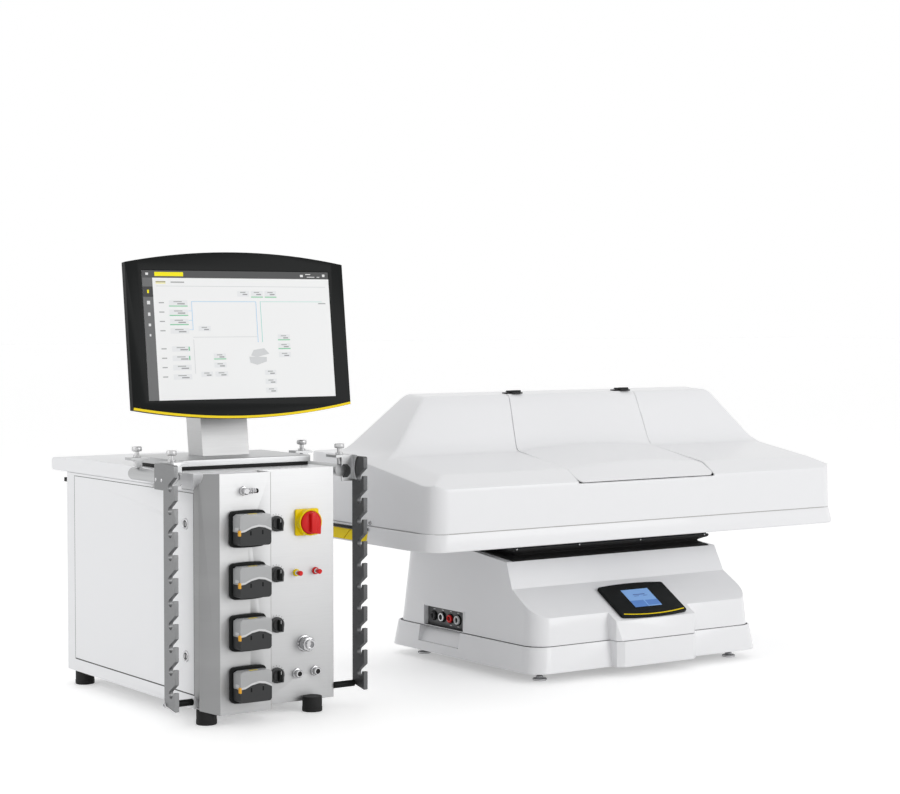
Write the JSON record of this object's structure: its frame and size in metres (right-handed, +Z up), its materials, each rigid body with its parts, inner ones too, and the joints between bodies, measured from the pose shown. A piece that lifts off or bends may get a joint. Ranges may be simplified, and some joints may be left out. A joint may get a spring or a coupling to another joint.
{
  "type": "bench bioreactor",
  "caption": "Rocking-motion bench bioreactor: a control tower with peristaltic pumps, tilting touch screen and hose racks, beside a rocker with a tray and hinged-lid hood.",
  "frame": {"origin": "centre of the whole object's box in plan, on the bench surface that both units stand on", "axes": "+X from the control tower to the rocker, +Y to the back, +Z up; the pump panel and console face -Y"},
  "size_m": [1.6179, 0.663, 0.8241],
  "materials": {
    "white_coat": "satin",
    "white_shell": "semi-gloss",
    "stainless": "brushed",
    "rack_grey": "satin",
    "chrome": "polished",
    "black_gloss": "gloss",
    "black_matte": "matte",
    "screen": "gloss",
    "pump_grey": "satin",
    "yellow": "gloss",
    "red": "gloss"
  },
  "bodies": {
    "root": {"tower_frame": "white_coat", "left_side_cover": "white_coat", "right_side_cover": "white_coat", "rear_panel": "white_coat", "tower_top_cover": "white_coat", "base_lower_shell": "white_shell", "base_upper_shell": "white_shell", "pump_panel": "stainless", "control_panel": "stainless", "rack_brackets": "stainless", "display_foot_plate": "stainless", "display_mast": "stainless", "rack_rails": "stainless", "rack_left": "rack_grey", "rack_right": "rack_grey", "bearing_stands": "rack_grey", "drive_gearmotor": "rack_grey", "power_supply": "rack_grey", "controller_unit": "rack_grey", "levelling_feet": "chrome", "thumbscrews": "chrome", "side_cover_locks": "chrome", "gas_overlay_fitting": "chrome", "lower_sockets": "chrome", "level_connector": "chrome", "pump_motors": "chrome", "console_display": "black_gloss", "tower_feet": "black_matte", "rack_rods": "black_matte", "cable_hooks": "black_matte", "socket_panel": "black_matte", "rocker_gaiter": "black_matte", "pump_head_a": "black_matte", "pump_head_b": "black_matte", "pump_head_c": "black_matte", "pump_head_d": "black_matte", "main_switch_plate": "yellow", "sensor_sockets": "red"},
    "rocker": {"rocking_platform": "black_matte", "tray": "white_shell", "hood": "white_shell", "lid_hinges": "black_gloss", "pivot_shaft": "chrome", "tube_gate": "yellow"},
    "lid": {"hood_lid": "white_shell"},
    "display": {"display_housing": "black_gloss", "display_screen": "screen"},
    "main_switch": {"main_switch_handle": "red"},
    "pump_cover_a": {"pump_cover_a": "pump_grey"},
    "pump_rotor_a": {"pump_rotor_a": "pump_grey"},
    "selector_knob_a": {"selector_knob_a": "black_matte"},
    "pump_cover_b": {"pump_cover_b": "pump_grey"},
    "pump_rotor_b": {"pump_rotor_b": "pump_grey"},
    "selector_knob_b": {"selector_knob_b": "black_matte"},
    "pump_cover_c": {"pump_cover_c": "pump_grey"},
    "pump_rotor_c": {"pump_rotor_c": "pump_grey"},
    "selector_knob_c": {"selector_knob_c": "black_matte"},
    "pump_cover_d": {"pump_cover_d": "pump_grey"},
    "pump_rotor_d": {"pump_rotor_d": "pump_grey"},
    "selector_knob_d": {"selector_knob_d": "black_matte"}
  },
  "joints": [
    {"name": "tray_rock", "type": "hinge", "parent": "root", "child": "rocker", "pos_m": [0.2749, -0.0548, 0.228], "axis": [1, 0, 0], "range_deg": [-10, 10], "deforming": ["rocker_gaiter"]},
    {"name": "lid_hinge", "type": "hinge", "parent": "rocker", "child": "lid", "pos_m": [0.2749, -0.0313, 0.5539], "axis": [-1, 0, 0], "range_deg": [0, 95]},
    {"name": "display_tilt", "type": "hinge", "parent": "root", "child": "display", "pos_m": [-0.5861, -0.0668, 0.634], "axis": [1, 0, 0], "range_deg": [-12, 10]},
    {"name": "main_switch_turn", "type": "hinge", "parent": "root", "child": "main_switch", "pos_m": [-0.4991, -0.26, 0.3395], "axis": [0, 1, 0], "range_deg": [0, 90]},
    {"name": "pump_cover_a_flip", "type": "hinge", "parent": "root", "child": "pump_cover_a", "pos_m": [-0.6486, -0.3071, 0.3645], "axis": [-1, 0, 0], "range_deg": [0, 90]},
    {"name": "pump_rotor_a_turn", "type": "hinge", "parent": "root", "child": "pump_rotor_a", "pos_m": [-0.6486, -0.3, 0.3405], "axis": [0, 1, 0], "continuous": true},
    {"name": "selector_knob_a_turn", "type": "hinge", "parent": "root", "child": "selector_knob_a", "pos_m": [-0.5616, -0.26, 0.34], "axis": [0, 1, 0], "range_deg": [-45, 45]},
    {"name": "pump_cover_b_flip", "type": "hinge", "parent": "root", "child": "pump_cover_b", "pos_m": [-0.6486, -0.3071, 0.2739], "axis": [-1, 0, 0], "range_deg": [0, 90]},
    {"name": "pump_rotor_b_turn", "type": "hinge", "parent": "root", "child": "pump_rotor_b", "pos_m": [-0.6486, -0.3, 0.2499], "axis": [0, 1, 0], "continuous": true},
    {"name": "selector_knob_b_turn", "type": "hinge", "parent": "root", "child": "selector_knob_b", "pos_m": [-0.5616, -0.26, 0.2494], "axis": [0, 1, 0], "range_deg": [-45, 45]},
    {"name": "pump_cover_c_flip", "type": "hinge", "parent": "root", "child": "pump_cover_c", "pos_m": [-0.6486, -0.3071, 0.1833], "axis": [-1, 0, 0], "range_deg": [0, 90]},
    {"name": "pump_rotor_c_turn", "type": "hinge", "parent": "root", "child": "pump_rotor_c", "pos_m": [-0.6486, -0.3, 0.1593], "axis": [0, 1, 0], "continuous": true},
    {"name": "selector_knob_c_turn", "type": "hinge", "parent": "root", "child": "selector_knob_c", "pos_m": [-0.5616, -0.26, 0.1588], "axis": [0, 1, 0], "range_deg": [-45, 45]},
    {"name": "pump_cover_d_flip", "type": "hinge", "parent": "root", "child": "pump_cover_d", "pos_m": [-0.6486, -0.3071, 0.0927], "axis": [-1, 0, 0], "range_deg": [0, 90]},
    {"name": "pump_rotor_d_turn", "type": "hinge", "parent": "root", "child": "pump_rotor_d", "pos_m": [-0.6486, -0.3, 0.0687], "axis": [0, 1, 0], "continuous": true},
    {"name": "selector_knob_d_turn", "type": "hinge", "parent": "root", "child": "selector_knob_d", "pos_m": [-0.5616, -0.26, 0.0682], "axis": [0, 1, 0], "range_deg": [-45, 45]}
  ]
}
